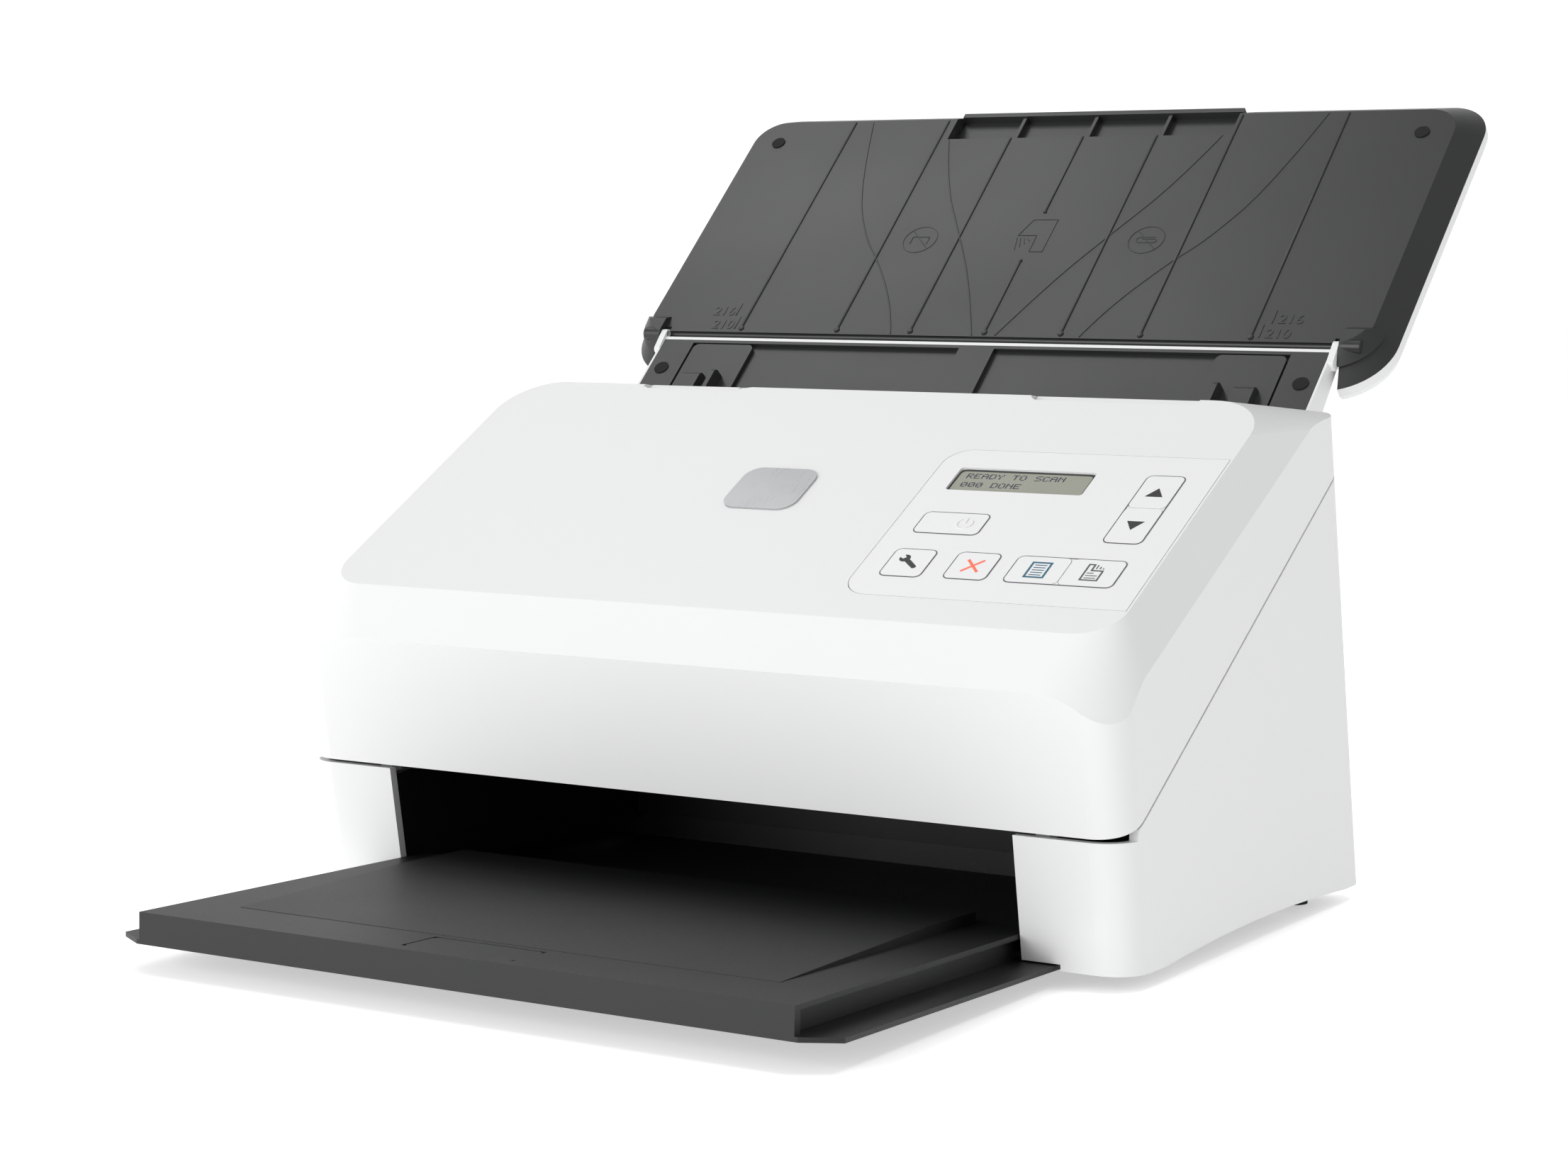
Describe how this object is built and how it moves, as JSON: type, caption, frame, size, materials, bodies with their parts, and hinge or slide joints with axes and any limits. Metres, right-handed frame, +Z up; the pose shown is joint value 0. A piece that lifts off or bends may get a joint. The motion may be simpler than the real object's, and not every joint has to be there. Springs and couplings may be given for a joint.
{
  "type": "sheet fed document scanner",
  "caption": "Desktop sheet fed document scanner with a slanted hatch and key panel, folding input tray with sliding guides, and pull-out output tray.",
  "frame": {"origin": "middle of the bounding box on the table, with both trays open", "axes": "+Z up, -Y towards the user in front, X across the paper width"},
  "size_m": [0.31, 0.4248, 0.2719],
  "materials": {
    "white_shell": "satin moulded, fine spark texture",
    "white_panel": "satin",
    "white_key": "satin",
    "charcoal": "fine textured matt",
    "black_plastic": "satin moulded",
    "dark_frame": "matt moulded",
    "rubber": "matt",
    "roller_rubber": "matt ground",
    "steel": "brushed",
    "zinc_sheet": "plated sheet",
    "badge_metal": "brushed gradient",
    "scan_glass": "polished",
    "display": "satin window",
    "display_body": "matt",
    "board": "solder mask",
    "belt": "ribbed",
    "motor_body": "satin can",
    "connector": "satin",
    "pale_roller": "turned acetal"
  },
  "bodies": {
    "base": {"base_housing": "white_shell", "floor_plate": "dark_frame", "case_screws": "steel", "rubber_feet": "rubber", "exit_tunnel": "black_plastic", "hatch_hinge_pins": "steel", "bed_frame": "white_shell", "feed_bed": "charcoal", "bed_bumpers": "rubber", "tray_hinge_pins": "steel", "tray_latch": "black_plastic", "drive_motor": "motor_body", "motor_belt": "belt", "feed_belt": "belt", "exit_belt": "belt", "lower_paper_guide": "dark_frame", "lower_scan_bar": "dark_frame", "lower_scan_glass": "scan_glass", "side_frame_left": "zinc_sheet", "side_frame_right": "zinc_sheet", "main_board": "board", "dc_jack": "connector", "usb_port": "connector"},
    "hatch": {"hatch_shell": "white_shell", "control_panel": "white_panel", "display_window": "display", "display_module": "display_body", "control_board": "board", "badge": "badge_metal", "upper_paper_guide": "dark_frame", "upper_scan_glass": "scan_glass", "upper_scan_bar": "dark_frame"},
    "input_tray": {"tray_panel": "charcoal", "tray_back": "white_shell", "tray_bumpers": "rubber"},
    "tray_extension": {"tray_extension": "charcoal"},
    "guide_left": {"paper_guide_left": "charcoal"},
    "guide_right": {"paper_guide_right": "charcoal"},
    "guide_pinion": {"guide_pinion": "pale_roller"},
    "output_tray": {"output_tray": "black_plastic"},
    "paper_stop": {"paper_stop": "black_plastic"},
    "feed_roller": {"feed_roller_shaft": "steel", "feed_roller_tyres": "roller_rubber"},
    "drive_roller": {"drive_roller_shaft": "steel", "drive_roller_tyres": "roller_rubber"},
    "exit_roller": {"exit_roller_shaft": "steel", "exit_roller_tyres": "roller_rubber"},
    "motor_rotor": {"motor_pulley": "steel"},
    "separation_roller": {"separation_roller_shaft": "steel", "separation_roller_tyres": "roller_rubber"},
    "drive_pinch": {"drive_pinch_rollers": "pale_roller"},
    "exit_pinch": {"exit_pinch_rollers": "pale_roller"},
    "release_lever": {"release_lever": "white_panel"},
    "power_key": {"power_key": "white_key"},
    "tools_key": {"tools_key": "white_key"},
    "cancel_key": {"cancel_key": "white_key"},
    "simplex_key": {"simplex_key": "white_key"},
    "duplex_key": {"duplex_key": "white_key"},
    "down_key": {"down_key": "white_key"},
    "up_key": {"up_key": "white_key"}
  },
  "joints": [
    {"name": "hatch_hinge", "type": "hinge", "parent": "base", "child": "hatch", "pos_m": [0, -0.0864, 0.0524], "axis": [1, 0, 0], "range_deg": [0, 60]},
    {"name": "input_tray_fold", "type": "hinge", "parent": "base", "child": "input_tray", "pos_m": [0, 0.10677, 0.18692], "axis": [-1, 0, 0], "range_deg": [-144, 0]},
    {"name": "tray_extension_slide", "type": "slide", "parent": "input_tray", "child": "tray_extension", "axis": [0, 0.7314, 0.682], "range_m": [0, 0.078]},
    {"name": "guide_slide", "type": "slide", "parent": "base", "child": "guide_right", "axis": [-1, 0, 0], "range_m": [0, 0.08]},
    {"name": "guide_left_slide", "type": "slide", "parent": "base", "child": "guide_left", "axis": [1, 0, 0], "range_m": [0, 0.08]},
    {"name": "guide_pinion_spin", "type": "hinge", "parent": "base", "child": "guide_pinion", "pos_m": [0, 0.08719, 0.161], "axis": [0, -0.682, 0.7314], "range_deg": [0, 1190]},
    {"name": "output_tray_slide", "type": "slide", "parent": "base", "child": "output_tray", "axis": [0, -0.9996, 0.0288], "range_m": [-0.127, 0]},
    {"name": "paper_stop_flip", "type": "hinge", "parent": "output_tray", "child": "paper_stop", "pos_m": [0, -0.20594, 0.01832], "axis": [1, 0, 0], "range_deg": [0, 85]},
    {"name": "drive_roller_spin", "type": "hinge", "parent": "base", "child": "drive_roller", "pos_m": [0, 0.0261, 0.1086], "axis": [1, 0, 0], "continuous": true},
    {"name": "feed_roller_spin", "type": "hinge", "parent": "base", "child": "feed_roller", "pos_m": [0, 0.04943, 0.12046], "axis": [1, 0, 0], "continuous": true},
    {"name": "exit_roller_spin", "type": "hinge", "parent": "base", "child": "exit_roller", "pos_m": [0, -0.04059, 0.06441], "axis": [1, 0, 0], "continuous": true},
    {"name": "motor_spin", "type": "hinge", "parent": "base", "child": "motor_rotor", "pos_m": [0, 0.03232, 0.07386], "axis": [1, 0, 0], "continuous": true},
    {"name": "separation_roller_spin", "type": "hinge", "parent": "hatch", "child": "separation_roller", "pos_m": [0, 0.03628, 0.1403], "axis": [1, 0, 0], "continuous": true},
    {"name": "drive_pinch_spin", "type": "hinge", "parent": "hatch", "child": "drive_pinch", "pos_m": [0, 0.01671, 0.12277], "axis": [1, 0, 0], "continuous": true},
    {"name": "exit_pinch_spin", "type": "hinge", "parent": "hatch", "child": "exit_pinch", "pos_m": [0, -0.04998, 0.07858], "axis": [1, 0, 0], "continuous": true},
    {"name": "release_lever_lift", "type": "hinge", "parent": "hatch", "child": "release_lever", "pos_m": [0, 0.03753, 0.17102], "axis": [-1, 0, 0], "range_deg": [0, 8], "stiffness_Nm_per_rad": 0.2},
    {"name": "power_key_press", "type": "slide", "parent": "hatch", "child": "power_key", "axis": [0, 0.4866, -0.8736], "range_m": [0, 0.0006], "stiffness_N_per_m": 1500},
    {"name": "tools_key_press", "type": "slide", "parent": "hatch", "child": "tools_key", "axis": [0, 0.4866, -0.8736], "range_m": [0, 0.0006], "stiffness_N_per_m": 1500},
    {"name": "cancel_key_press", "type": "slide", "parent": "hatch", "child": "cancel_key", "axis": [0, 0.4866, -0.8736], "range_m": [0, 0.0006], "stiffness_N_per_m": 1500},
    {"name": "simplex_key_press", "type": "slide", "parent": "hatch", "child": "simplex_key", "axis": [0, 0.4866, -0.8736], "range_m": [0, 0.0006], "stiffness_N_per_m": 1500},
    {"name": "duplex_key_press", "type": "slide", "parent": "hatch", "child": "duplex_key", "axis": [0, 0.4866, -0.8736], "range_m": [0, 0.0006], "stiffness_N_per_m": 1500},
    {"name": "down_key_press", "type": "slide", "parent": "hatch", "child": "down_key", "axis": [0, 0.4866, -0.8736], "range_m": [0, 0.0006], "stiffness_N_per_m": 1500},
    {"name": "up_key_press", "type": "slide", "parent": "hatch", "child": "up_key", "axis": [0, 0.4866, -0.8736], "range_m": [0, 0.0006], "stiffness_N_per_m": 1500}
  ],
  "couplings": [
    {"joint": "guide_left_slide", "follows": "guide_slide", "ratio": 1},
    {"joint": "guide_pinion_spin", "follows": "guide_slide", "rad_per_m": 256.41},
    {"joint": "feed_roller_spin", "follows": "drive_roller_spin", "ratio": 0.75},
    {"joint": "exit_roller_spin", "follows": "drive_roller_spin", "ratio": 1},
    {"joint": "motor_spin", "follows": "drive_roller_spin", "ratio": 1.5}
  ]
}
